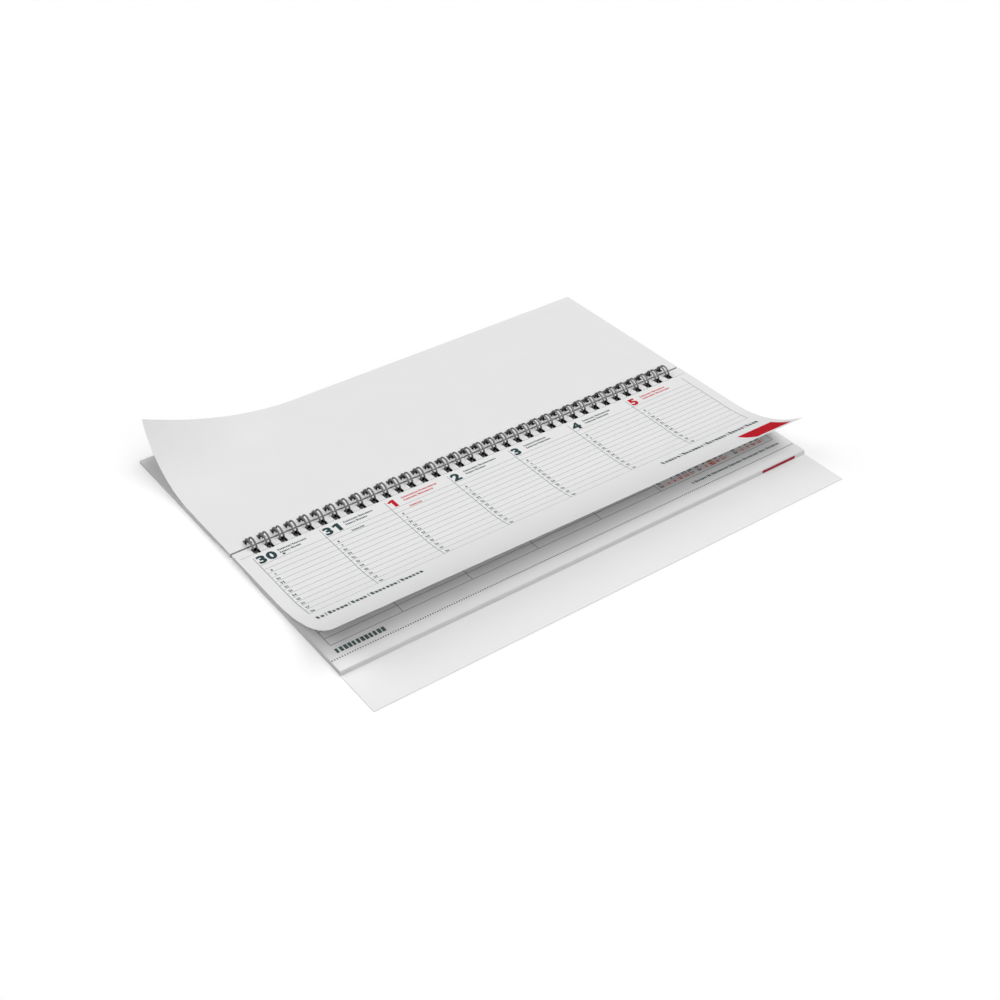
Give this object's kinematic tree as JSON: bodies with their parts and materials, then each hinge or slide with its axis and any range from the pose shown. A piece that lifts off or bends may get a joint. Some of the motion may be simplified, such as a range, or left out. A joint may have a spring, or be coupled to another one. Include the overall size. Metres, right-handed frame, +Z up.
{
  "type": "desk calendar",
  "caption": "Wire-bound week-at-a-view desk calendar lying open, with turned leaves behind the wire and a back cover that projects in front as a strip.",
  "frame": {"origin": "on the desk plane, at the middle of the open calendar's bounding box", "axes": "+X along the wire to the reader's right, +Y away from the reader, +Z up"},
  "size_m": [0.3216, 0.2584, 0.0308],
  "materials": {
    "cover_card": "smooth white card, faint sheen",
    "leaf_stack": "stacked white leaves, matte",
    "page_paper": "uncoated white paper, matte",
    "binding_wire": "grey drawn steel wire, satin"
  },
  "bodies": {
    "desk_side": {"back_cover": "cover_card", "week_block": "leaf_stack", "week_sheet": "page_paper", "wire_binding": "binding_wire"},
    "turned_side": {"front_cover": "cover_card", "turned_block": "leaf_stack", "turned_sheet": "page_paper"}
  },
  "joints": [
    {"name": "fold", "type": "hinge", "parent": "desk_side", "child": "turned_side", "pos_m": [0, 0.0154, 0.0044], "axis": [1, 0, 0], "range_deg": [0, 180], "deforming": ["turned_sheet", "week_sheet"]}
  ]
}
